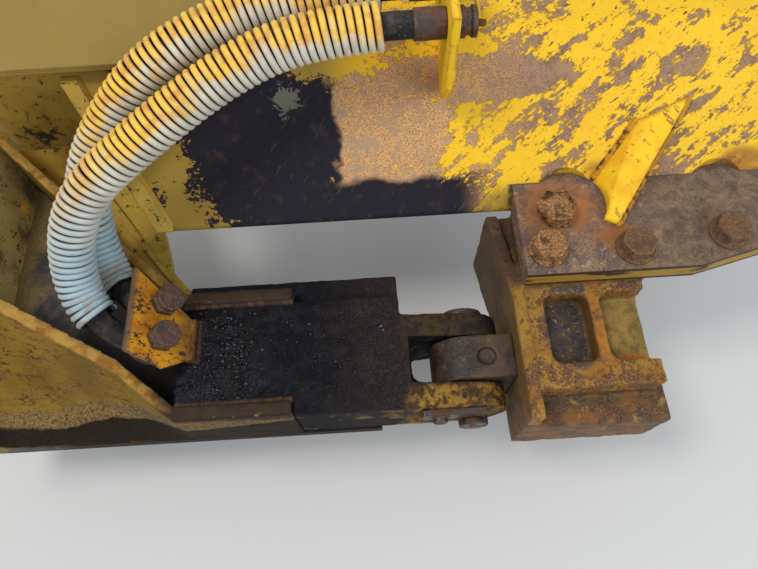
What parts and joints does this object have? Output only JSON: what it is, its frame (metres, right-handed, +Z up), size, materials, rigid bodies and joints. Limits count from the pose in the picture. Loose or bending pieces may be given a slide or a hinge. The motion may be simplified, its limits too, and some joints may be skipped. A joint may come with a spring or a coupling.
{
  "type": "bulldozer push arm hinge",
  "caption": "Rear end of a bulldozer's blade push arm, forked and pinned to a bolted pivot bracket on the main frame's side beam, with guarded hydraulic hoses across the hinge.",
  "frame": {"origin": "centre of the side beam's machined back face and of its four bolt holes", "axes": "+X to the machine's rear, +Y inboard out of the back face, +Z up"},
  "size_m": [1.09, 0.516, 0.4],
  "materials": {
    "chipped_yellow": "machine-yellow paint, chipped to brown rust",
    "shaded_yellow": "dulled machine-yellow paint with small chips",
    "worn_yellow": "dirty worn yellow paint, rubbed through along its edges",
    "worn_casting": "ochre paint remains over rusted casting",
    "greasy_steel": "black with grease and packed dirt",
    "rusty_bolt": "scaly brown rust",
    "bare_steel": "worn bare steel",
    "black_rubber": "dusty black hose rubber",
    "hose_guard": "off-white spiral plastic guard with yellow overspray"
  },
  "bodies": {
    "main_frame": {"side_beam": "chipped_yellow", "ledge_gusset": "chipped_yellow", "nose_edge_bar": "shaded_yellow", "nose_cover": "shaded_yellow", "pivot_bracket": "worn_casting", "pivot_lug": "greasy_steel", "lug_bushing": "bare_steel", "ledge_bolts": "rusty_bolt", "scoop_bolts": "rusty_bolt", "top_hose_plate": "chipped_yellow", "top_fittings": "rusty_bolt", "hose_front": "black_rubber", "hose_rear": "black_rubber", "guard_front": "hose_guard", "guard_rear": "hose_guard"},
    "push_arm": {"arm_fork": "greasy_steel", "arm_outer_wall": "worn_yellow", "arm_inner_wall": "worn_yellow", "arm_floor": "worn_yellow", "arm_corner_plate": "shaded_yellow", "corner_edge_bar": "shaded_yellow", "arm_end_flange": "worn_yellow", "arm_hose_plate": "chipped_yellow", "arm_fittings": "rusty_bolt", "hinge_pin": "bare_steel", "pin_keeper": "rusty_bolt"}
  },
  "joints": [
    {"name": "arm_hinge", "type": "hinge", "parent": "main_frame", "child": "push_arm", "pos_m": [0, -0.43, -0.16], "axis": [0, 1, 0], "range_deg": [-12, 12], "deforming": ["hose_front", "guard_front", "hose_rear", "guard_rear"]}
  ]
}
